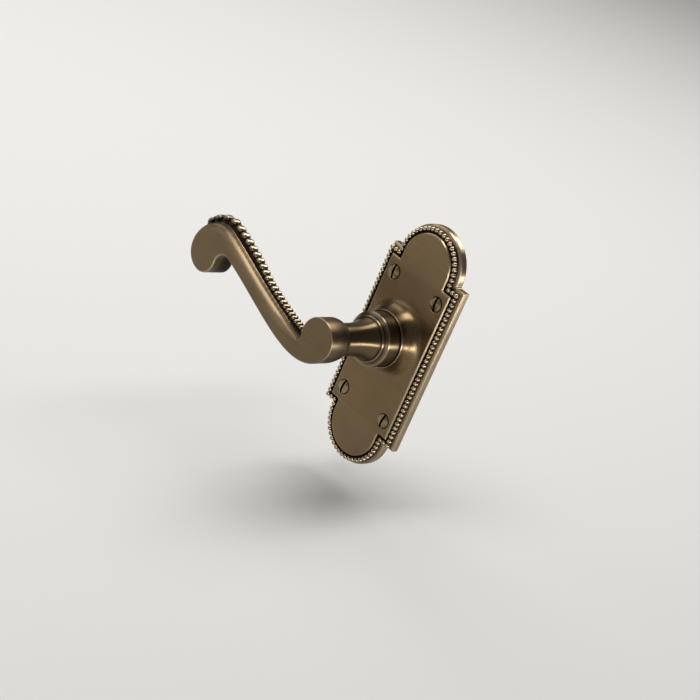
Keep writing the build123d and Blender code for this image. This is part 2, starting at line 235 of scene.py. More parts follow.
noiseBand = (0.3, 0.7)  # most of a noise texture's values lie in it
metal = {
    "dark": (0.138, 0.097, 0.053), "light": (0.190, 0.135, 0.076),
    # the near-black tone is laid on patina and painted shade, the light one on wear and painted highlights
    "patinaTone": (0.012, 0.009, 0.007), "wearAndHighlightTone": (0.48, 0.38, 0.25),
    "roughness": 0.31, "darkeningRoughness": 0.25, "streak": 0.7,
    "grain": 0.10, "grainDepth": 0.00002, "grainBump": 0.25, "grainShare": 0.65,
    "cloudScale": 45.0, "cloudShare": 0.35, "fleckScale": 900.0,
}
plain = {
    "grainScale": 700.0, "grainDepth": 0.00003, "grainBump": 0.2,
    "cloudScale": 120.0, "spread": (-0.06, 0.08),
}


def agedBrass(name, brush, strokes=None, look=metal, hub=None):
    # strokes: the way of the brushing, or None where it runs round the spindle axis
    # hub: the radii between which strokes round the axis go over to straight ones
    net = Nodes(name)
    place = (net.add("ShaderNodeTexCoord"), "Object")
    grainPlace = place
    split = net.link(*place, net.add("ShaderNodeSeparateXYZ"), 0)
    squares = [net.math("POWER", (split, axis), 2.0) for axis in (0, 2)]
    across = net.math("SQRT", net.math("ADD", *squares), 0.0)
    ringWay = net.add("ShaderNodeVectorMath", {0: (0, 1, 0)}, operation="CROSS_PRODUCT")
    net.link(*place, ringWay, 1)
    lay = net.link(ringWay, 0, net.add("ShaderNodeVectorMath", operation="NORMALIZE"), 0)
    if not strokes:
        join = net.add("ShaderNodeCombineXYZ")
        net.link(*across, join, 0)
        net.link(split, 1, join, 1)
        grainPlace = (join, 0)
    elif hub:
        share = net.remap(across, hub[0], hub[1], 0.0, 1.0)
        blend = net.add("ShaderNodeMix", {5: strokes}, data_type="VECTOR")
        net.link(*share, blend, 0)
        net.link(lay, 0, blend, 4)
        lay = net.link(blend, 1, net.add("ShaderNodeVectorMath", operation="NORMALIZE"), 0)
    else:
        lay = net.add("ShaderNodeCombineXYZ", dict(enumerate(strokes)))
    toWorld = net.add("ShaderNodeVectorTransform", vector_type="VECTOR")
    toWorld.convert_from = "OBJECT"
    toWorld.convert_to = "WORLD"
    net.link(lay, 0, toWorld, 0)
    sheen = net.add("ShaderNodeVectorMath", operation="CROSS_PRODUCT")
    net.link(net.add("ShaderNodeNewGeometry"), "Normal", sheen, 0)
    net.link(toWorld, 0, sheen, 1)
    net.link(sheen, 0, net.shader, "Tangent")
    net.shader.inputs["Anisotropic"].default_value = look["streak"]
    stretch = net.add("ShaderNodeMapping", {"Scale": brush})
    net.link(*grainPlace, stretch, "Vector")
    grain = net.noise((stretch, 0), scale=1.0, detail=4.0, rough=0.6)
    cloud = net.noise(place, look["cloudScale"], detail=3.0, rough=0.55)
    fleck = net.noise(place, look["fleckScale"], detail=2.0, rough=0.6)
    # patina with painted shade, and painted shade on the crown's beads, darken the tone; wear with painted
    # highlights lightens it
    patina = net.math("MAXIMUM", net.attribute("patina"), net.attribute("crownShade"))
    grainTone = net.remap(grain, *noiseBand, 0.0, look["grainShare"])
    cloudTone = net.remap(cloud, *noiseBand, 0.0, look["cloudShare"])
    tone = net.mix(net.math("ADD", grainTone, cloudTone), look["dark"], look["light"])
    darkening = net.math("MULTIPLY", patina, net.remap(fleck, 0.25, 0.6, 0.82, 1.0))
    tone = net.mix(darkening, tone, look["patinaTone"])
    shine = net.math("MULTIPLY", net.attribute("wearAndHighlight"), net.remap(cloud, 0.3, 0.6, 0.55, 1.0))
    tone = net.mix(shine, tone, look["wearAndHighlightTone"])
    net.link(*tone, net.shader, "Base Color")
    half = look["grain"] / 2
    base = net.remap(grain, 0.25, 0.75, look["roughness"] - half, look["roughness"] + half)
    rough = net.math("ADD", base, net.math("MULTIPLY", darkening, look["darkeningRoughness"]))
    net.link(*rough, net.shader, "Roughness")
    net.bump(grain, look["grainBump"], look["grainDepth"])
    net.shader.inputs["Metallic"].default_value = 1.0
    return net.material


def plainMetal(name, dark, light, roughness, metallic=1.0):
    net = Nodes(name)
    place = (net.add("ShaderNodeTexCoord"), "Object")
    grain = net.noise(place, plain["grainScale"], detail=4.0, rough=0.6)
    cloud = net.noise(place, plain["cloudScale"], detail=3.0, rough=0.5)
    tone = net.mix(net.remap(cloud, *noiseBand, 0.0, 1.0), dark, light)
    net.link(*tone, net.shader, "Base Color")
    low, high = plain["spread"]
    rough = net.remap(grain, *noiseBand, roughness + low, roughness + high)
    net.link(*rough, net.shader, "Roughness")
    net.bump(grain, plain["grainBump"], plain["grainDepth"])
    net.shader.inputs["Metallic"].default_value = metallic
    return net.material


plateLook = dict(metal, dark=(0.152, 0.103, 0.054), light=(0.210, 0.143, 0.077))
plateBrass = agedBrass("plateBrass", (35.0, 1500.0, 1500.0), (1, 0, 0.1), plateLook, (0.0150, 0.0215))
# painted shade: the turned parts take a darker copy of the brass, standing in for the dark surroundings they
# mirror
turnedLook = dict(metal, dark=(0.122, 0.086, 0.047), light=(0.142, 0.100, 0.055), roughness=0.29)
turnedLook.update(streak=0.85, grain=0.04, grainDepth=0.000006)
turnedBrass = agedBrass("turnedBrass", (3000.0, 3000.0, 1.0), None, turnedLook)
leverLook = dict(metal, roughness=0.4)
leverBrass = agedBrass("leverBrass", (50.0, 1200.0, 1200.0), (0.96, 0, -0.28), leverLook)
# painted highlight: the beads and pearls take a lighter copy of the brass
beadLook = dict(metal, dark=(0.31, 0.245, 0.158), light=(0.42, 0.335, 0.222), roughness=0.28, streak=0.0)
beadBrass = agedBrass("beadBrass", (400.0, 400.0, 400.0), (1, 0, 0), beadLook)
screwLook = dict(metal, dark=(0.20, 0.150, 0.075), light=(0.30, 0.225, 0.115), streak=0.4)
screwBrass = agedBrass("screwBrass", (2500.0, 2500.0, 60.0), (0, 0, 1), screwLook)
slotShade = plainMetal("slotShade", (0.010, 0.008, 0.006), (0.018, 0.014, 0.010), 0.6)
zincSteel = plainMetal("zincSteel", (0.28, 0.28, 0.29), (0.38, 0.38, 0.39), 0.46)
springSteel = plainMetal("springSteel", (0.14, 0.14, 0.15), (0.24, 0.24, 0.25), 0.38)
nylon = plainMetal("nylon", (0.66, 0.64, 0.58), (0.76, 0.74, 0.69), 0.55, 0.0)
print("materials made")

# Backplate
plate = {
    "width": 50.0, "length": 127.6, "lobeRadius": 19.3, "shoulder": 87.2, "rise": 4.6,
    "notchRadius": 0.8, "cornerRadius": 0.25, "arcSteps": 40,
    "lipStart": 3.1, "lipHeight": 0.9, "lipWidth": 0.95, "bed": 5.4, "grooveFloor": 5.0, "grooveStart": 3.2,
    "fieldInset": 4.1, "field": 7.3, "bevel": 0.7,
    "backWall": 2.6, "pocket": 2.8, "recess": 6.3, "ceiling": 5.1,
}
boss = {
    "foot": 19.6, "rim": 13.9, "bandStart": 14.6, "top": 15.6, "bore": 13.5, "floor": 11.4,
    "bushBore": 10.5, "webBack": 9.4, "room": 14.6,
}
screw = {"spanX": 30.2, "spanZ": 64.6, "head": 3.6, "fit": 0.08, "shank": 1.75, "pillar": 5.2}
screwSpots = [
    (x * screw["spanX"] / 2, z * screw["spanZ"] / 2 - plate["rise"]) for x in (-1, 1) for z in (-1, 1)
]


def plateSizes(inset):
    # half width, shoulder, radius and centre of the round end
    lobe = plate["lobeRadius"]
    return plate["width"] / 2 - inset, plate["shoulder"] / 2 - inset, lobe - inset, plate["length"] / 2 - lobe


def plateRing(inset, height):
    wide, shoulder, lobe, centre = plateSizes(inset)
    corner, notch = plate["cornerRadius"], plate["notchRadius"]
    run = [np.array([wide, 0.0])]
    run += [np.array([wide - corner, shoulder - corner]) + polar(corner, a) for a in np.linspace(0, 90, 5)]
    run += [np.array([lobe + notch, shoulder + notch]) + polar(notch, a) for a in np.linspace(270, 180, 7)]
    run += [np.array([0, centre]) + polar(lobe, a) for a in np.linspace(0, 90, plate["arcSteps"] + 1)]
    half = run + [spot * (-1, 1) for spot in reversed(run[:-1])]
    loop = half + [-spot for spot in half[1:-1]]
    return [(spot[0], -height, spot[1] - plate["rise"]) for spot in loop]


field, bed, grooveFloor = plate["field"], plate["bed"], plate["grooveFloor"]
groove, fieldEdge, fieldTop = plate["grooveStart"], plate["fieldInset"], plate["fieldInset"] + plate["bevel"]
# the lip is painted light, a painted highlight on top of its wear
lip = [
    (plate["lipWidth"] * (1 - math.cos(a)), plate["lipStart"] + plate["lipHeight"] * math.sin(a), 0.0, 0.75)
    for a in np.radians((10, 22, 35, 48, 62, 76, 90))
]
border = [  # inset, height, patina and painted shade, wear and painted highlight
    (plate["backWall"], 0.0, 0.1, 0.0), (0.4, 0.0, 0.1, 0.0), (0.3, 0.0, 0.1, 0.1), (0.09, 0.09, 0.0, 0.2),
    # the outer wall is painted light, a painted highlight on top of its wear
    (0.0, 0.3, 0.0, 0.2), (0.0, 0.5, 0.0, 0.5), (0.0, 2.6, 0.0, 0.6), (0.0, 3.0, 0.0, 0.65),
    *lip,
    # painted shade: the cove, bed and groove beside the pearls are dark, on top of their patina in the
    # hollows
    (1.2, 4.14, 0.45, 0.0), (1.4, 4.42, 0.75, 0.0), (1.53, 4.85, 0.9, 0.0), (1.6, 5.2, 0.9, 0.0),
    (1.7, 5.36, 0.95, 0.0), (1.82, bed, 1.0, 0.0),
    (groove - 0.15, bed, 1.0, 0.0), (groove, bed - 0.08, 1.0, 0.0),
    (groove + 0.1, grooveFloor, 1.0, 0.0), (fieldEdge - 0.15, grooveFloor, 1.0, 0.0),
    (fieldEdge, grooveFloor + 0.15, 1.0, 0.0), (fieldEdge, 6.1, 0.75, 0.0),
    # painted highlight: a light line along the field's bevel
    (fieldEdge + 0.02, field - plate["bevel"], 0.3, 0.2), (fieldEdge + 0.12, 6.78, 0.0, 0.6),
    (fieldEdge + 0.5, 7.18, 0.0, 0.8), (fieldTop, field, 0.0, 0.5), (fieldTop + 0.25, field, 0.0, 0.05),
]
body = Shell()
rings = body.stack([body.ring(plateRing(inset, height), darkening, wearAndHighlight) for inset, height, darkening, wearAndHighlight in border])
fieldLoop = rings[-1]
foot, bossRim, bossTop, bore = boss["foot"], boss["rim"], boss["top"], boss["bore"]
bossProfile = [(foot + 0.2, field, 0.0, 0.0)]
for a in np.radians(np.linspace(90, 0, 33)):
    radius = foot - (foot - bossRim) * math.cos(a)
    bossProfile.append((radius, boss["bandStart"] - (boss["bandStart"] - field) * math.sin(a), 0.0, 0.0))
# painted highlight on the boss rim's edge, on top of its wear; painted shade down the bore, in the gap round
# the collar
bossProfile += [
    (bossRim, bossTop - 0.6, 0.0, 0.1), (bossRim, bossTop - 0.25, 0.0, 0.9),
    (bossRim - 0.06, bossTop - 0.04, 0.0, 1.0), (bossRim - 0.15, bossTop, 0.0, 1.0),
    (bore + 0.1, bossTop, 0.1, 0.7), (bore, bossTop - 0.1, 0.8, 0.0),
    (bore, bossTop - 0.6, 1.0, 0.0), (bore, boss["floor"], 1.0, 0.0),
    (boss["bushBore"], boss["floor"], 1.0, 0.0), (boss["bushBore"], boss["webBack"], 0.3, 0.0),
    (boss["room"], boss["webBack"], 0.2, 0.0), (boss["room"], plate["ceiling"], 0.1, 0.0),
]
bossRings = lathe(body, bossProfile, 144)
sink, hole, pillar = screw["head"] + screw["fit"], screw["shank"] + 0.1, screw["pillar"]
# painted highlight on each countersink's edge and painted shade in the gap round the screw head
sinkRows = [
    (sink + 0.5, field, 0.0, 0.0), (sink + 0.32, field - 0.01, 0.0, 0.5),
    (sink + 0.22, field - 0.06, 0.1, 0.6), (sink + 0.05, field - 0.22, 0.9, 0.0),
    (sink, field - 0.3, 1.0, 0.0), (sink - 1.0, field - 1.2, 1.0, 0.0), (hole, field - 1.9, 1.0, 0.0),
]
sinks = []
for spot in screwSpots:
    sinkRings = lathe(body, sinkRows, 48, spot)
    body.fill(sinkRings[-1])
    sinks.append(sinkRings[0])
body.fill(fieldLoop, bossRings[0], *sinks)
pocket, recess = plate["pocket"], plate["recess"]
backRows = [(plate["backWall"], pocket), (recess, pocket), (recess, plate["ceiling"])]
backRings = body.stack([rings[0]] + [body.ring(plateRing(inset, height), 0.25) for inset, height in backRows])
body.fill(backRings[-1], bossRings[-1])
pillarRows = [(hole, 3.0), (hole, 0.1), (hole + 0.1, 0.0), (pillar - 0.2, 0.0), (pillar, 0.2)]
pillarRows.append((pillar, plate["ceiling"] + 0.3))
for spot in screwSpots:
    lathe(body, [(radius, height, 0.15, 0.0) for radius, height in pillarRows], 48, spot)
plateMesh = body.mesh("backplate")
addObject("beadedBackplate", plateMesh, fixedBody, [plateBrass], ["backplate"])
print("backplate", len(plateMesh.polygons))


# Rows of beads by Geometry Nodes
def startTree(name, inputs):
    tree = bpy.data.node_groups.new(name, "GeometryNodeTree")
    tree.interface.new_socket("Geometry", in_out="INPUT", socket_type="NodeSocketGeometry")
    keys = {}
    for label, (kind, value) in inputs.items():
        socket = tree.interface.new_socket(label, in_out="INPUT", socket_type=kind)
        socket.default_value = value
        keys[label] = socket.identifier
    tree.interface.new_socket("Geometry", in_out="OUTPUT", socket_type="NodeSocketGeometry")
    return tree, keys, tree.nodes.new("NodeGroupInput"), tree.nodes.new("NodeGroupOutput")


def calc(tree, operation, a, b):
    node = tree.nodes.new("ShaderNodeMath")
    node.operation = operation
    for index, value in enumerate((a, b)):
        if isinstance(value, float):
            node.inputs[index].default_value = value
        else:
            tree.links.new(value, node.inputs[index])
    return node.outputs[0]


def ramp(tree, value, low, high, start, end):
    node = tree.nodes.new("ShaderNodeMapRange")
    node.interpolation_type = "SMOOTHSTEP"
    for index, source in enumerate((value, low, high)):
        tree.links.new(source, node.inputs[index])
    node.inputs[3].default_value = start
    node.inputs[4].default_value = end
    return node.outputs[0]


def squareEnds(tree, shapes, split, power, radius):
    # a ball drawn out to a barrel along Y: round in section, fuller towards its ends
    add, join = tree.nodes.new, tree.links.new
    x, y, z = [calc(tree, "DIVIDE", split.outputs[axis], radius) for axis in "XYZ"]
    section = calc(tree, "ADD", calc(tree, "MULTIPLY", x, x), calc(tree, "MULTIPLY", z, z))
    ring = calc(tree, "POWER", section, calc(tree, "DIVIDE", power, 2.0))
    total = calc(tree, "ADD", ring, calc(tree, "POWER", calc(tree, "ABSOLUTE", y, 0.0), power))
    swell = add("ShaderNodeVectorMath")
    swell.operation = "SCALE"
    join(add("GeometryNodeInputPosition").outputs[0], swell.inputs[0])
    join(calc(tree, "POWER", total, calc(tree, "DIVIDE", -1.0, power)), swell.inputs["Scale"])
    shift = add("GeometryNodeSetPosition")
    join(shapes, shift.inputs["Geometry"])
    join(swell.outputs[0], shift.inputs["Position"])
    return shift.outputs["Geometry"]


def beadTree(name, sizes, material, shaped):
    kinds = {int: "NodeSocketInt", float: "NodeSocketFloat"}
    inputs = {label: (kinds[type(value)], value) for label, value in sizes.items()}
    tree, keys, entry, last = startTree(name, inputs)
    add, join, given = tree.nodes.new, tree.links.new, entry.outputs
    ball = add("GeometryNodeMeshUVSphere")
    for label in ("Segments", "Rings", "Radius"):
        join(given[label], ball.inputs[label])
    turn = add("GeometryNodeTransform")
    turn.inputs["Rotation"].default_value = (math.radians(90), 0, 0)
    join(ball.outputs["Mesh"], turn.inputs["Geometry"])
    spread = add("GeometryNodeInstanceOnPoints")
    split = add("ShaderNodeSeparateXYZ")
    join(add("GeometryNodeInputPosition").outputs[0], split.inputs[0])
    shapes = turn.outputs["Geometry"]
    axis, sign = ("Z", 1.0) if shaped else ("Y", -1.0)
    out = calc(tree, "MULTIPLY", split.outputs[axis], sign)  # out of the metal
    # painted shade at each bead's foot and a painted highlight on its top, along with patina and wear
    darkening = ramp(tree, out, given["Patina and shade line"], given["Clear line"], 1.0, 0.0)
    shine = ramp(tree, out, given["Bright line"], given["Top line"], 0.0, 0.6)
    if shaped:
        for label, socket in (("beadTurn", "Rotation"), ("beadScale", "Scale")):
            read = add("GeometryNodeInputNamedAttribute")
            read.data_type = "FLOAT_VECTOR"
            read.inputs["Name"].default_value = label
            join(read.outputs["Attribute"], spread.inputs[socket])
        shapes = squareEnds(tree, shapes, split, given["Squareness"], given["Radius"])
        # painted shade in the gaps between beads of the row
        beside = calc(tree, "ABSOLUTE", split.outputs["X"], 0.0)
        gapShade = ramp(tree, beside, given["Gap shade start"], given["Gap shade end"], 0.0, 1.0)
        darkening = calc(tree, "MAXIMUM", darkening, gapShade)
        shine = calc(tree, "SUBTRACT", shine, gapShade)
    for label, value in (("patina", darkening), ("wearAndHighlight", shine)):
        store = add("GeometryNodeStoreNamedAttribute")
        store.inputs["Name"].default_value = label
        join(shapes, store.inputs["Geometry"])
        join(value, store.inputs["Value"])
        shapes = store.outputs["Geometry"]
    join(given["Geometry"], spread.inputs["Points"])
    join(shapes, spread.inputs["Instance"])
    real = add("GeometryNodeRealizeInstances")
    join(spread.outputs["Instances"], real.inputs["Geometry"])
    soft = add("GeometryNodeSetShadeSmooth")
    join(real.outputs["Geometry"], soft.inputs["Geometry"])
    paint = add("GeometryNodeSetMaterial")
    paint.inputs["Material"].default_value = material
    join(soft.outputs["Geometry"], paint.inputs["Geometry"])
    join(paint.outputs["Geometry"], last.inputs["Geometry"])
    return tree, keys


def growBeads(name, spots, body, sizes, material, vectors=None):
    mesh = bpy.data.meshes.new(name)
    mesh.from_pydata([[c * mm for c in spot] for spot in spots], [], [])
    for label, rows in (vectors or {}).items():
        data = np.array(rows, np.float32)
        kind, field = ("FLOAT_VECTOR", "vector") if data.ndim == 2 else ("FLOAT", "value")
        mesh.attributes.new(label, kind, "POINT").data.foreach_set(field, data.ravel())
    tree, keys = beadTree(name + "Tree", sizes, material, bool(vectors))
    obj = newObject(name, mesh)
    grow = obj.modifiers.new("grow", "NODES")
    grow.node_group = tree
    for label, value in sizes.items():
        grow[keys[label]] = value
    made = bakedMesh(obj)
    obj.modifiers.clear()
    obj.data = made
    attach(obj, body)
    print(name, len(made.polygons))


pearls = {"inset": 2.2, "height": 6.2, "pitch": 2.51}
# patina with painted shade at the pearls' feet, painted highlight on their tops
pearlSizes = {
    "Segments": 12, "Rings": 6, "Radius": 1.2 * mm,
    "Patina and shade line": -0.8 * mm, "Clear line": 0.2 * mm, "Bright line": 0.2 * mm, "Top line": 1.0 * mm,
}


def pearlSpots():
    wide, shoulder, lobe, centre = plateSizes(pearls["inset"])
    notch = plate["notchRadius"]
    side = [np.array([wide, -shoulder]), np.array([wide, shoulder])]
    end = [np.array([wide, shoulder])]
    end += [np.array([lobe + notch, shoulder + notch]) + polar(notch, a) for a in np.linspace(270, 180, 9)]
    end += [np.array([0, centre]) + polar(lobe, a) for a in np.linspace(0, 180, 181)]
    end += [np.array([-lobe - notch, shoulder + notch]) + polar(notch, a) for a in np.linspace(0, -90, 9)]
    end += [np.array([-wide, shoulder])]
    spots = []
    for run in (np.array(side), np.array(end)):
        length = distances(run)
        count = round(length[-1] / pearls["pitch"])
        for here in np.arange(count) * length[-1] / count:
            spots.append((np.interp(here, length, run[:, 0]), np.interp(here, length, run[:, 1])))
    return [(sign * x, -pearls["height"], sign * z - plate["rise"]) for x, z in spots for sign in (1, -1)]


growBeads("pearlBorder", pearlSpots(), fixedBody, pearlSizes, beadBrass)

# Lever: scroll arm and head from one outline, dome and neck turned
arm = {
    "headCentre": (1.4, 1.2), "headRadius": 10.2, "headEnd": -38.5, "crotchAngle": 222.0, "crotchRound": 2.5,
    "crookStart": (-68.9, 2.4), "crookHeading": 165.3,
    "arcs": [(5.8, 109.4), (8.5, -92.0), (10.3, -77.8), (15.0, -114.9)],
    "bellyPull": 24.9, "crookPull": 33.7, "crownPull": 10.5, "crotchPull": 20.5,
    "face": 59.8, "depth": 12.5, "points": 560,
    "headEdge": 0.5, "bellyEdge": 1.0, "tipEdge": 0.9, "topEdge": 3.0, "rollWidth": 0.6,
    "edgeRise": 20.0, "edgeFall": (18.0, 2.0), "fallShare": 0.6, "edgeBlend": 1.6,
    "arris": 4.7, "flare": 0.55, "flareEnd": (16.0, 3.0), "rowShare": 0.61, "backEdge": 0.7,
    "domeStart": 51.5, "domeRadius": 8.8, "heelFade": 14.0, "headShade": (0.74, 0.18),
}
rim = {
    "front": 5.2, "back": 8.2, "reach": 2.9, "root": -1.0, "round": 0.5, "taper": 9.0, "points": 280,
    "standOff": (36.0, 54.0, 0.8),
}


def bezier(a, b, c, d, steps):
    t = np.linspace(0, 1, steps + 1)[:, None]
    return (1 - t) ** 3 * a + 3 * (1 - t) ** 2 * t * b + 3 * (1 - t) * t * t * c + t ** 3 * d


def armOutline():
    centre = np.array(arm["headCentre"])
    start = centre + polar(arm["headRadius"], arm["headEnd"])
    crook = np.array(arm["crookStart"])
    leave = start + polar(arm["bellyPull"], arm["headEnd"] - 90)
    belly = bezier(start, leave, crook - polar(arm["crookPull"], arm["crookHeading"]), crook, 400)
    runs, spot, heading = [], crook, arm["crookHeading"]
    for radius, sweep in arm["arcs"]:
        side = math.copysign(90, sweep)
        hub = spot + polar(radius, heading + side)
        run = np.array([hub + polar(radius, heading - side + sweep * t) for t in np.linspace(0, 1, 201)])
        runs.append(run)
        spot, heading = run[-1], heading + sweep
    crotch = centre + polar(arm["headRadius"], arm["crotchAngle"])
    leave = spot + polar(arm["crownPull"], heading)
    top = bezier(spot, leave, crotch - np.array([arm["crotchPull"], 0]), crotch, 1200)
    way = np.gradient(top, axis=0)
    way /= np.linalg.norm(way, axis=1)[:, None]
    rising = top + np.stack([-way[:, 1], way[:, 0]], 1) * arm["crotchRound"]
    reach = np.linalg.norm(rising - centre, axis=1) - arm["headRadius"] - arm["crotchRound"]
    last = int(np.argmax(reach < 0))
    hub = rising[last]
    toHead = bearing(hub - centre)
    first = bearing(top[last] - hub)
    sweep = ((toHead + 180) % 360 - first) % 360
    crotchArc = [hub + polar(arm["crotchRound"], first + sweep * t) for t in np.linspace(0, 1, 101)]
    headArc = [centre + polar(arm["headRadius"], a) for a in np.linspace(toHead, arm["headEnd"], 400)]
    parts = {"head": np.array(headArc), "belly": belly}
    parts.update(zip(("crook", "curl", "eye", "crown"), runs))
    parts.update(top=top[:last + 1], crotch=np.array(crotchArc))
    return parts, np.vstack([runs[3][:-1], top])


outline, rimPath = armOutline()
rimAt = distances(rimPath)


def rimSpot(here):
    # a point of the arm's top line, the way along it and the way out of the metal
    ends = [[np.interp(s, rimAt, rimPath[:, c]) for c in (0, 1)] for s in (here - 0.1, here + 0.1)]
    spot, near = np.array(ends)
    way = (near - spot) / np.linalg.norm(near - spot)
    return (spot + near) / 2, way, np.array([-way[1], way[0]])


def standOff(distance):
    # how far the rim and its beads step out and back towards the crown, by the way from the crotch
    low, high, most = rim["standOff"]
    return most * float(smooth(distance, low, high))


dense, marks, travelled = [], {}, 0.0
for label, run in outline.items():
    length = float(np.linalg.norm(np.diff(run, axis=0), axis=1).sum())
    marks[label] = (travelled, travelled + length)
    travelled += length
    dense.append(run[:-1])
dense = np.vstack(dense + [outline["head"][:1]])
denseAt = distances(dense)
around = denseAt[-1]
at = np.linspace(0, around, arm["points"], endpoint=False)


def outlineSpots(here):
    return np.stack([np.interp(here, denseAt, dense[:, axis]) for axis in (0, 1)], 1)


edge = outlineSpots(at)
along = outlineSpots((at + 0.05) % around) - outlineSpots((at - 0.05) % around)
along /= np.linalg.norm(along, axis=1)[:, None]
outward = np.stack([-along[:, 1], along[:, 0]], 1)


def spread(values, width, reach=60):
    # periodic smoothing along the outline
    steps = np.arange(-reach, reach + 1)
    kernel = np.exp(-0.5 * (steps * around / arm["points"] / width) ** 2)
    kernel /= kernel.sum()
    return sum(weight * np.roll(values, int(step)) for weight, step in zip(kernel, steps))


def during(label):
    return (at >= marks[label][0]) & (at < marks[label][1])


(crownStart, crownEnd), (topStart, topEnd) = marks["crown"], marks["top"]
roll = np.full(arm["points"], arm["tipEdge"])
roll[during("head")] = arm["headEdge"]
roll[during("crotch")] = arm["headEdge"]
roll[during("belly")] = arm["bellyEdge"]
rise = smooth(at, crownStart, crownStart + arm["edgeRise"])
fall = smooth(at, topEnd - arm["edgeFall"][0], topEnd - arm["edgeFall"][1])
onTop = during("crown") | during("top")
topRoll = arm["tipEdge"] + (arm["topEdge"] - arm["tipEdge"]) * rise * (1 - arm["fallShare"] * fall)
roll[onTop] = topRoll[onTop]
roll = spread(roll, arm["edgeBlend"])
wide = roll * (1 + arm["rollWidth"] * spread(np.where(onTop, rise * (1 - fall), 0.0), arm["edgeBlend"]))
rowStart = crownEnd - arm["rowShare"] * (crownEnd - crownStart)
crotchStart, crotchEnd = marks["crotch"]
channel = smooth(at, rowStart - 3, rowStart + 6) * (1 - smooth(at, crotchStart - 1.5, crotchStart + 1.6))
bellyStart = marks["belly"][0]
heel = np.where(during("head"), 1.0, 0.0)
heel = np.where(during("belly"), 1 - smooth(at, bellyStart, bellyStart + arm["heelFade"]), heel)
heel = np.where(during("crotch"), smooth(at, crotchStart, crotchEnd), heel)
hook = spread(np.where(during("crook") | during("curl"), 1.0, 0.0), 1.5)
crownPart = 1 - smooth(at, topStart - 6, topStart + 16)
flare = channel * arm["flare"] * (1 - smooth(at, topEnd - arm["flareEnd"][0], topEnd - arm["flareEnd"][1]))
# painted highlight along the face's sharper edges and the crook's edges, on top of their wear
edgeWearAndHighlight = np.maximum(0.12 + 0.55 * smooth(-roll, -1.1, -0.5), 0.75 * hook)
bare = channel * (1 - crownPart)


def domeInset(depth):
    drop = max(0.0, depth - (arm["face"] - arm["domeStart"]))
    return arm["domeRadius"] - math.sqrt(arm["domeRadius"] ** 2 - drop ** 2)


def headShade(depth):
    # painted shade: the head darkens from its face to the neck, standing in for the dark surroundings that
    # its side mirrors
    side, joint = arm["headShade"]
    return side * smooth(depth, 1.0, 9.0) + joint * smooth(depth, 12.0, 15.4)


def sideShade(inChannel, onCrown, inHook):
    # painted shade along the bead row's channel, with more of it on the crown, and on the crook's wall
    return np.maximum(channel * (inChannel + onCrown * crownPart), inHook * hook)


scroll = Shell()


def armRing(inset, depth, patina=0.0, wearAndHighlight=0.0):
    depth = np.broadcast_to(depth, arm["points"])
    shifted = edge - outward * np.broadcast_to(inset, arm["points"])[:, None]
    points = [(spot[0], deep - arm["face"], spot[1]) for spot, deep in zip(shifted, depth)]
    return scroll.ring(points, np.maximum(patina, heel * headShade(depth)), wearAndHighlight)


armRings = [armRing(wide + 0.5, 0.0), armRing(wide + 0.15, 0.0, 0.0, 0.03)]
for angle in np.linspace(0, 90, 11):
    c, s = polar(1.0, angle)
    # painted shade on the roll's outer part at the crown; painted highlight along the edge
    darkening = channel * crownPart * 0.6 * float(smooth(angle, 45, 85))
    wearAndHighlight = edgeWearAndHighlight * math.sin(math.radians(2 * angle))
    armRings.append(armRing(wide * (1 - s), roll * (1 - c), darkening, wearAndHighlight))
arris, back = arm["arris"], arm["backEdge"]
# painted highlight on the arris along the bead row; the rings behind it take painted shade
armRings += [
    armRing(0.0, roll + 0.1, sideShade(0.3, 0.3, 0.3)),
    armRing(-flare * 0.45, arris - 0.4, sideShade(0.35, 0.3, 0.55)),
    armRing(-flare * 0.9, arris - 0.12, sideShade(0.0, 0.4, 0.6), 0.3 * bare),
    armRing(-flare, arris, sideShade(0.0, 0.3, 0.65), 0.5 * bare),
    armRing(-flare * 0.85, arris + 0.1, sideShade(0.5, 0.0, 0.7), 0.1 * channel),
    armRing(-flare * 0.1, arris + 0.35, sideShade(0.75, 0.0, 0.75)),
    armRing(0.0, arris + 0.6, sideShade(0.8, 0.0, 0.8)),
]
for depth in np.linspace(arm["face"] - arm["domeStart"], arm["depth"] - back, 7):
    armRings.append(armRing(heel * domeInset(depth), depth, sideShade(0.4, 0.0, 0.92)))
for angle in np.linspace(15, 90, 6):
    c, s = polar(1.0, angle)
    depth = arm["depth"] - back * (1 - s)
    inset = np.maximum(back * (1 - c) * (1 - heel), heel * domeInset(depth))
    armRings.append(armRing(inset, depth, 0.2 * channel))
armRings.append(armRing(np.maximum(back * (1 - heel), heel * domeInset(arm["depth"])) + 0.2, arm["depth"]))
scroll.stack(armRings)
scroll.fill(armRings[0])
scroll.fill(armRings[-1])


def rimSection():
    # offset out of the metal, depth behind the face, painted shade under the beads
    low, high, bend = rim["front"], rim["back"], rim["round"]
    rows = [(rim["root"], low, 0.75), (0.6, low, 0.75)]
    for hub, first in ((low + bend, -90), (high - bend, 0)):
        for angle in np.linspace(first, first + 90, 5):
            offset, depth = np.array([rim["reach"] - bend, hub]) + polar(bend, angle)
            rows.append((offset, depth, 0.8 if depth < 6 else 0.6))
    return rows + [(0.6, high, 0.5), (rim["root"], high, 0.5)]


rimStart = (1 - arm["rowShare"]) * (crownEnd - crownStart) - rim["reach"]
rimRings = []
for here in np.linspace(rimStart, rimAt[-1] - 0.15, rim["points"]):
    spot, way, out = rimSpot(here)
    swell = math.sqrt(max(0.0004, 1 - max(0.0, 1 - (here - rimStart) / rim["taper"]) ** 2))
    lift = standOff(rimAt[-1] - here)
    points, darkening = [], []
    for offset, depth, patina in rimSection():
        x, z = spot + out * ((offset + lift) * swell if offset > 0 else offset)
        points.append((x, depth + lift - arm["face"], z))
        darkening.append(patina * swell)
    rimRings.append(scroll.ring(points, darkening))
scroll.stack(rimRings)
scroll.faces += [tuple(rimRings[0]), tuple(rimRings[-1])]

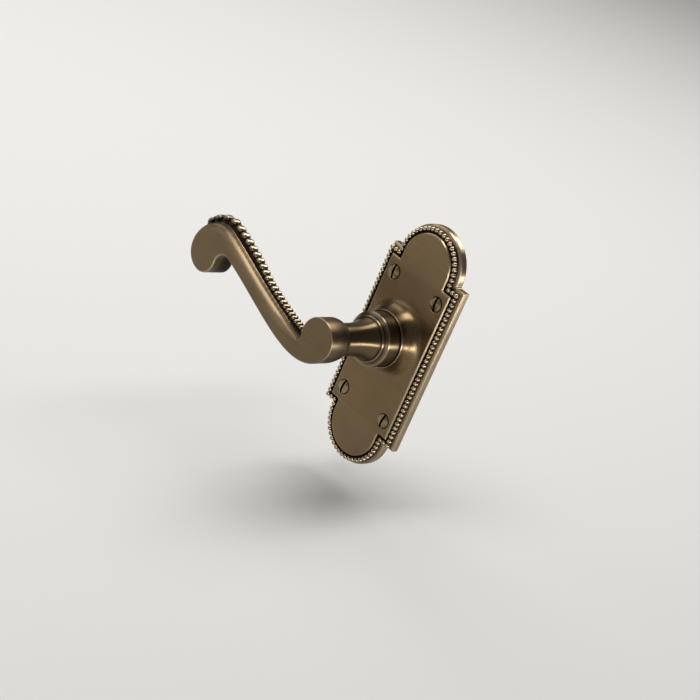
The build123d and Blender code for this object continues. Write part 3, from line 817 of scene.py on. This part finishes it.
neck = {
    "collar": 13.15, "base": 13.0, "front": 23.4, "collarEdge": 0.4,
    "ring": 10.65, "ringAt": 25.0, "ringThick": 0.55, "bell": 10.1, "throat": 7.7, "throatAt": 37.5,
    "inside": 52.0, "domeEnd": 43.6, "journal": 9.0, "journalEnd": 0.3,
    "flat": (7.0, 3.32), "groove": (8.4, 0.6, 1.72),
}
collar, base, front, collarEdge = neck["collar"], neck["base"], neck["front"], neck["collarEdge"]
ring, ringAt, ringThick = neck["ring"], neck["ringAt"], neck["ringThick"]
bell, throat, throatAt = neck["bell"], neck["throat"], neck["throatAt"]
journal, journalEnd, flatEnd = neck["journal"], neck["journalEnd"], neck["flat"][1]
clipSeat, clipLow, clipHigh = neck["groove"]
bellDrop = throatAt - (ringAt + ringThick)
bellRadius = (bellDrop ** 2 + (bell - throat) ** 2) / (2 * (bell - throat))
neckRows = [  # radius, height above the door, patina and painted shade, wear and painted highlight
    (journal - 0.3, journalEnd, 0.2, 0.0), (journal, journalEnd + 0.3, 0.2, 0.0),
    (journal, clipLow, 0.2, 0.0), (clipSeat, clipLow, 0.5, 0.0),
    (clipSeat, clipHigh, 0.5, 0.0), (journal, clipHigh, 0.2, 0.0),
    (journal, flatEnd - 0.02, 0.2, 0.0), (journal, flatEnd + 0.02, 0.2, 0.0),
    # painted shade at the collar's foot, where it goes into the boss
    (journal, base, 0.6, 0.0), (collar - 0.2, base, 1.0, 0.0), (collar, base + 0.2, 1.0, 0.0),
    (collar, 15.6, 1.0, 0.0), (collar, 16.4, 0.9, 0.0), (collar, 17.0, 0.05, 0.0),
    (collar, front - collarEdge - 0.3, 0.0, 0.0),
    # painted highlight on the collar's front edge and on the ring
    *arcRows((collar - collarEdge, front - collarEdge), collarEdge, 0, 75, 6, 0.0, 0.5),
    (collar - 0.9, front + 0.16, 0.0, 0.2), (ring + 0.75, ringAt - 0.8, 0.35, 0.0),
    (ring + 0.2, ringAt - 0.62, 0.85, 0.0),
    *arcRows((ring, ringAt), ringThick, -80, 85, 10, 0.0, 0.35),
    (bell + 0.25, ringAt + ringThick, 0.85, 0.0),
]
# patina with painted shade in the crease where the ring meets the bell
for share in np.linspace(0, 1, 25):
    angle = (1 - share) * math.asin(bellDrop / bellRadius)
    radius = throat + bellRadius * (1 - math.cos(angle))
    darkening = 0.6 * float(1 - smooth(share, 0.0, 0.1))
    neckRows.append((radius, throatAt - bellRadius * math.sin(angle), darkening, 0.0))
# painted shade down the throat into the head, joining the head's painted shade
neckRows += [
    (throat, 40.0, 0.0, 0.0), (throat, 42.2, 0.05, 0.0), (throat, 43.4, 0.35, 0.0),
    (throat, 44.4, 0.75, 0.0), (throat, neck["inside"], 1.0, 0.0),
]
turned = Shell()
neckRings = lathe(turned, neckRows, 144, halfFlat=neck["flat"])
turned.fill(neckRings[0])
turned.fill(neckRings[-1])

# the grub screw's hole
drill = {"radius": 2.48, "height": 39.0, "reach": (-12.0, -3.9), "steps": 40}
cutter = Shell()
drillRing = [polar(drill["radius"], a) for a in np.linspace(0, 360, drill["steps"], endpoint=False)]
drillRings = [cutter.ring([(x, y - drill["height"], z) for x, y in drillRing], 0.6) for z in drill["reach"]]
cutter.stack(drillRings)
cutter.faces += [tuple(loop) for loop in drillRings]
neckObj = newObject("neckTemp", turned.mesh("neck"))
cutObj = newObject("cutTemp", cutter.mesh("cut"))
addCut(neckObj, cutObj)
neckMesh = bakedMesh(neckObj, neckObj, cutObj)

domeRows = []
# the dome takes the head's painted shade
for depth in np.linspace(9.2, arm["face"] - neck["domeEnd"], 26):
    below = 0.04 if depth < arm["depth"] + 0.05 else 0.0  # under the arm's own surface
    radius = arm["headRadius"] - domeInset(depth) - below
    domeRows.append((radius, arm["face"] - depth, float(headShade(depth)), 0.0))
dome = Shell()
domeRings = lathe(dome, domeRows, 128, centre=arm["headCentre"])
dome.fill(domeRings[0])
dome.fill(domeRings[-1])

joined = bmesh.new()
for index, mesh in enumerate((scroll.mesh("scroll"), neckMesh, dome.mesh("dome"))):
    before = len(joined.faces)
    joined.from_mesh(mesh)
    joined.faces.ensure_lookup_table()
    for face in joined.faces[before:]:
        face.material_index = min(index, 1)
leverMesh = bpy.data.meshes.new("lever")
joined.to_mesh(leverMesh)
joined.free()
addObject("scrollLever", leverMesh, leverBody, [leverBrass, turnedBrass], ["lever"])
print("lever", len(leverMesh.polygons))

row = {
    "count": 28, "start": 2.3, "pitch": 1.97, "growth": 1.036, "fill": 0.48, "centre": 6.1,
    "height": (1.3, 1.6), "halfLength": (1.95, 2.4), "seat": (2.65, 2.5), "sink": 1.2, "crownShade": 0.25,
}
# painted shade at the beads' feet and in the gaps between them, painted highlight on their tops
rowSizes = {
    "Segments": 16, "Rings": 10, "Radius": 1.0 * mm, "Squareness": 3.4,
    "Patina and shade line": -0.2 * mm, "Clear line": 0.5 * mm, "Bright line": 0.4 * mm, "Top line": 1.0 * mm,
    "Gap shade start": 0.5 * mm, "Gap shade end": 0.95 * mm,
}


def armBeads():
    # beads grow from the crotch to the crown, where the last ones sink in
    spots, turns, scales, crownShade = [], [], [], []
    distance, pitch = row["start"], row["pitch"]
    for index in range(row["count"]):
        spot, way, out = rimSpot(rimAt[-1] - distance)
        turns.append((0.0, -math.atan2(way[1], way[0]), 0.0))
        grown = index / (row["count"] - 1)
        sizes = [np.interp(grown, (0, 1), row[key]) for key in ("halfLength", "height", "seat")]
        length, height, stand = sizes
        lift = standOff(distance)
        seat = spot + out * (stand + lift - row["sink"] * float(smooth(grown, 0.88, 1.0)))
        # painted shade: the last beads on the crown are darker
        crownShade.append(row["crownShade"] * float(smooth(grown, 0.76, 0.94)))
        spots.append((seat[0], row["centre"] + lift - arm["face"], seat[1]))
        scales.append((row["fill"] * pitch, length, height))
        distance += pitch
        pitch *= row["growth"]
    return spots, {"beadTurn": turns, "beadScale": scales, "crownShade": crownShade}


beadSpots, beadVectors = armBeads()
growBeads("armBeadRow", beadSpots, leverBody, rowSizes, beadBrass, beadVectors)

# Screws
screwForm = {
    "dome": 0.95, "slot": 1.25, "slotDepth": 1.3, "reach": 12.0, "point": 3.0, "soften": 0.08,
    "turns": (4.0, -3.0, 6.0, -5.0),
}
screwHead, shank, tip = screw["head"], screw["shank"], -screwForm["reach"]
domeTop = field + screwForm["dome"]
crownRadius = (screwHead ** 2 + screwForm["dome"] ** 2) / (2 * screwForm["dome"])
screwRows = [
    (0.02, tip, 0.0, 0.0), (shank, tip + screwForm["point"], 0.0, 0.0),
    (shank, field - screwHead + shank, 0.1, 0.0), (screwHead - 0.1, field - 0.1, 1.0, 0.0),
    (screwHead, field + 0.02, 1.0, 0.0),
]
for share in np.linspace(0.06, 0.98, 14):
    angle = (1 - share) * math.asin(screwHead / crownRadius)
    radius = crownRadius * math.sin(angle)
    # painted shade round the head's edge, in the gap to the countersink; a faint painted highlight on the
    # dome
    darkening = float(smooth(radius, screwHead - 0.55, screwHead - 0.1))
    screwRows.append((radius, domeTop - crownRadius * (1 - math.cos(angle)), darkening, 0.1 * (1 - darkening)))
head = Shell()
screwRings = lathe(head, screwRows, 64)
head.fill(screwRings[0])
head.fill(screwRings[-1])
slotCut = Shell()
slotHalf, slotFloor, slotReach = screwForm["slot"] / 2, domeTop - screwForm["slotDepth"], 6.0
corners = [(x * slotHalf, z * slotReach) for x, z in ((-1, -1), (1, -1), (1, 1), (-1, 1))]
slotRings = [slotCut.ring([(x, -h, z) for x, z in corners], 1.0) for h in (slotFloor, field + 2)]
slotCut.stack(slotRings)
slotCut.fill(slotRings[0])
slotCut.fill(slotRings[1])
headObj = newObject("screwTemp", head.mesh("screw", 25))
slotObj = newObject("slotTemp", slotCut.mesh("slot"))
addCut(headObj, slotObj)
soften = headObj.modifiers.new("soften", "BEVEL")
soften.width = screwForm["soften"] * mm
soften.segments = 2
soften.limit_method = "ANGLE"
soften.angle_limit = math.radians(50)
oneScrew = bakedMesh(headObj, headObj, slotObj)
for face in oneScrew.polygons:
    spot = face.center / mm
    face.material_index = int(abs(spot.x) < slotHalf + 0.01 and -spot.y > slotFloor - 0.05)
four = bmesh.new()
for spot, angle in zip(screwSpots, screwForm["turns"]):
    shift = Matrix.Translation((spot[0] * mm, 0, spot[1] * mm))
    placed = oneScrew.copy()
    placed.transform(shift @ Matrix.Rotation(math.radians(angle), 4, "Y"))
    four.from_mesh(placed)
screwMesh = bpy.data.meshes.new("plateScrews")
four.to_mesh(screwMesh)
four.free()
addObject("slottedScrews", screwMesh, fixedBody, [screwBrass, slotShade], ["plate_screws"])
print("screws", len(screwMesh.polygons))

# Inner pieces keep their CAD form
inner = {
    "spindle": zincSteel, "grub_screw": zincSteel, "drive_plate": zincSteel, "stop_pins": zincSteel,
    "retaining_clip": springSteel, "bearing_bush": nylon, "thrust_washer": nylon,
}
for name, material in inner.items():
    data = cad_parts[name].data
    data.materials.clear()
    data.materials.append(material)
print("inner pieces", len(inner))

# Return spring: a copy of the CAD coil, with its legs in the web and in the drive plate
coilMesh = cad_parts["return_spring"].data.copy()
coilMesh.materials.clear()
coilMesh.materials.append(springSteel)
coilObj = newObject("twistingSpring", coilMesh)
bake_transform(coilObj)
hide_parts("return_spring")
print("spring", len(coilMesh.polygons))

# Stage
stageLook = {
    "floorTone": (0.69, 0.68, 0.66), "floorRoughness": 0.9, "floorSpecular": 0.1, "floorHalf": 8.0,
    "floorGap": 0.012, "worldTone": (1.0, 0.99, 0.97), "worldLight": 0.14, "aim": (-0.02, -0.03, 0.0),
}
net = Nodes("paleFloor")
net.shader.inputs["Base Color"].default_value = (*stageLook["floorTone"], 1)
net.shader.inputs["Roughness"].default_value = stageLook["floorRoughness"]
net.shader.inputs["Specular IOR Level"].default_value = stageLook["floorSpecular"]
floorMesh = bpy.data.meshes.new("floor")
floorLevel = cadBox[0].z - stageLook["floorGap"]  # clear of the lever when it is turned down
floorHalf = stageLook["floorHalf"]
floorCorners = [(x * floorHalf, y * floorHalf, floorLevel) for x, y in ((-1, -1), (1, -1), (1, 1), (-1, 1))]
floorMesh.from_pydata(floorCorners, [], [(0, 1, 2, 3)])
floorMesh.materials.append(net.material)
floorObj = newObject("floor", floorMesh)

world = bpy.data.worlds.new("studio")
bpy.context.scene.world = world
world.use_nodes = True
sky = world.node_tree.nodes["Background"]
sky.inputs[0].default_value = (*stageLook["worldTone"], 1)
sky.inputs[1].default_value = stageLook["worldLight"]

lights = {
    "key": {"spot": (-0.3, 0.2, 1.3), "size": (0.45, 3.1), "power": 28.0},
    "fill": {"spot": (-1.4, 0.0, 1.2), "size": (1.2, 1.2), "power": 9.0},
    "front": {"spot": (-1.0, -1.1, 0.35), "size": (0.7, 0.5), "power": 1.5},
    "glint": {"spot": (0.05, 1.25, 1.2), "size": (0.4, 0.9), "power": 9.0, "partOnly": True},
    "right": {"spot": (0.56, -0.36, -0.015), "size": (0.5, 0.09), "power": 2.0, "partOnly": True},
    "side": {"spot": (0.6, 0.3, -0.01), "size": (0.6, 0.1), "power": 2.2, "partOnly": True},
}
notFloor = bpy.data.collections.new("notFloor")  # lamps for the part alone leave the floor out
notFloor.objects.link(floorObj)
notFloor.collection_objects[0].light_linking.link_state = "EXCLUDE"
for name, look in lights.items():
    lamp = bpy.data.lights.new(name, "AREA")
    lamp.shape = "RECTANGLE"
    lamp.size, lamp.size_y = look["size"]
    lamp.energy = look["power"]
    obj = newObject(name, lamp)
    obj.location = look["spot"]
    if name != "key":  # the key looks straight down
        toPart = Vector(stageLook["aim"]) - Vector(look["spot"])
        obj.rotation_euler = toPart.to_track_quat("-Z", "Y").to_euler()
    if look.get("partOnly"):
        obj.light_linking.receiver_collection = notFloor
print("stage set")

# Camera at the photograph's place
shot = {
    "spot": (0.463498, -0.610107, 0.300485), "lens": 89.10, "sensor": 36.0, "clip": (0.01, 50.0),
    "right": (0.61815858, 0.69308685, 0.37082419), "up": (-0.53218471, 0.02182795, 0.84634684),
    "back": (0.57849754, -0.72052353, 0.38234336),
}
lens = bpy.data.cameras.new("camera")
lens.lens = shot["lens"]
lens.sensor_width = shot["sensor"]
lens.sensor_fit = "HORIZONTAL"
lens.clip_start, lens.clip_end = shot["clip"]
camera = newObject("camera", lens)
turnTo = Matrix([shot["right"], shot["up"], shot["back"]]).transposed().to_4x4()
camera.matrix_world = Matrix.Translation(shot["spot"]) @ turnTo
bpy.context.scene.camera = camera
bpy.context.scene.view_settings.view_transform = "Standard"
